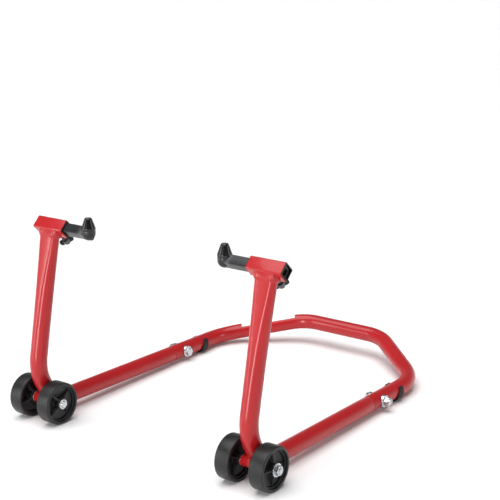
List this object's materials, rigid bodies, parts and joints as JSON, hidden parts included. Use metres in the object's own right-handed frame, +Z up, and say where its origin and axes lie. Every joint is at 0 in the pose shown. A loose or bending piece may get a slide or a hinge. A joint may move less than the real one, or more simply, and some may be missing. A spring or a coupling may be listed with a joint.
{
  "type": "motorcycle paddock stand",
  "caption": "Red tubular motorcycle paddock stand on wheels, with a bolted handle loop and sliding lift cones clamped in square sockets.",
  "frame": {"origin": "on the floor, in the middle of the stand's width and length", "axes": "+X across the stand along the axles, +Y from the uprights towards the handle loop, +Z up"},
  "size_m": [0.605, 0.719, 0.39],
  "materials": {
    "red_powder_coat": "gloss powder coat",
    "black_coated_steel": "semi-gloss black coating",
    "black_gloss": "gloss black",
    "black_plastic": "moulded",
    "black_nylon": "moulded, satin",
    "black_rubber": "matte",
    "zinc_plate": "bright zinc",
    "steel_bush": "machined",
    "dark_screw": "black oxide",
    "label_film": "satin film, blank"
  },
  "bodies": {
    "frame": {"left_side_tube": "red_powder_coat", "right_side_tube": "red_powder_coat", "left_axle_sleeve": "red_powder_coat", "right_axle_sleeve": "red_powder_coat", "left_socket": "red_powder_coat", "right_socket": "red_powder_coat", "left_inner_liner": "black_plastic", "left_outer_liner": "black_plastic", "right_inner_liner": "black_plastic", "right_outer_liner": "black_plastic", "left_weld_nut": "red_powder_coat", "right_weld_nut": "red_powder_coat", "left_joint_sleeve": "zinc_plate", "right_joint_sleeve": "zinc_plate", "handle_loop": "red_powder_coat", "joint_bolts": "zinc_plate", "joint_washers": "zinc_plate", "joint_nuts": "zinc_plate", "left_foot_clip": "black_rubber", "right_foot_clip": "black_rubber", "left_axle_bolt": "zinc_plate", "right_axle_bolt": "zinc_plate", "axle_washers": "zinc_plate", "axle_nuts": "zinc_plate", "loop_label": "label_film"},
    "left_outer_wheel_set": {"left_outer_wheel": "black_nylon", "left_outer_bush": "steel_bush"},
    "left_inner_wheel_set": {"left_inner_wheel": "black_nylon", "left_inner_bush": "steel_bush"},
    "right_inner_wheel_set": {"right_inner_wheel": "black_nylon", "right_inner_bush": "steel_bush"},
    "right_outer_wheel_set": {"right_outer_wheel": "black_nylon", "right_outer_bush": "steel_bush"},
    "left_adapter": {"left_adapter_bar": "black_coated_steel", "left_lift_cone": "black_gloss"},
    "left_screw": {"left_clamp_screw": "dark_screw"},
    "left_knob": {"left_clamp_knob": "black_plastic"},
    "right_adapter": {"right_adapter_bar": "black_coated_steel", "right_lift_cone": "black_gloss"},
    "right_screw": {"right_clamp_screw": "dark_screw"},
    "right_knob": {"right_clamp_knob": "black_plastic"}
  },
  "joints": [
    {"name": "left_outer_wheel_spin", "type": "hinge", "parent": "frame", "child": "left_outer_wheel_set", "pos_m": [-0.278, -0.3195, 0.04], "axis": [1, 0, 0], "continuous": true},
    {"name": "left_inner_wheel_spin", "type": "hinge", "parent": "frame", "child": "left_inner_wheel_set", "pos_m": [-0.208, -0.3195, 0.04], "axis": [1, 0, 0], "continuous": true},
    {"name": "right_inner_wheel_spin", "type": "hinge", "parent": "frame", "child": "right_inner_wheel_set", "pos_m": [0.208, -0.3195, 0.04], "axis": [1, 0, 0], "continuous": true},
    {"name": "right_outer_wheel_spin", "type": "hinge", "parent": "frame", "child": "right_outer_wheel_set", "pos_m": [0.278, -0.3195, 0.04], "axis": [1, 0, 0], "continuous": true},
    {"name": "left_adapter_slide", "type": "slide", "parent": "frame", "child": "left_adapter", "axis": [-1, 0, 0], "range_m": [-0.023, 0.036]},
    {"name": "left_clamp_travel", "type": "slide", "parent": "frame", "child": "left_screw", "axis": [0, 0.7071, -0.7071], "range_m": [0, 0.00375]},
    {"name": "left_clamp_turn", "type": "hinge", "parent": "left_screw", "child": "left_knob", "pos_m": [-0.243, -0.2711, 0.3613], "axis": [0, 0.7071, -0.7071], "range_deg": [0, 1080.02]},
    {"name": "right_adapter_slide", "type": "slide", "parent": "frame", "child": "right_adapter", "axis": [1, 0, 0], "range_m": [-0.023, 0.036]},
    {"name": "right_clamp_travel", "type": "slide", "parent": "frame", "child": "right_screw", "axis": [0, 0.7071, -0.7071], "range_m": [0, 0.00375]},
    {"name": "right_clamp_turn", "type": "hinge", "parent": "right_screw", "child": "right_knob", "pos_m": [0.243, -0.2711, 0.3613], "axis": [0, 0.7071, -0.7071], "range_deg": [0, 1080.02]}
  ],
  "couplings": [
    {"joint": "left_clamp_turn", "follows": "left_clamp_travel", "rad_per_m": 5026.5},
    {"joint": "right_clamp_turn", "follows": "right_clamp_travel", "rad_per_m": 5026.5}
  ]
}
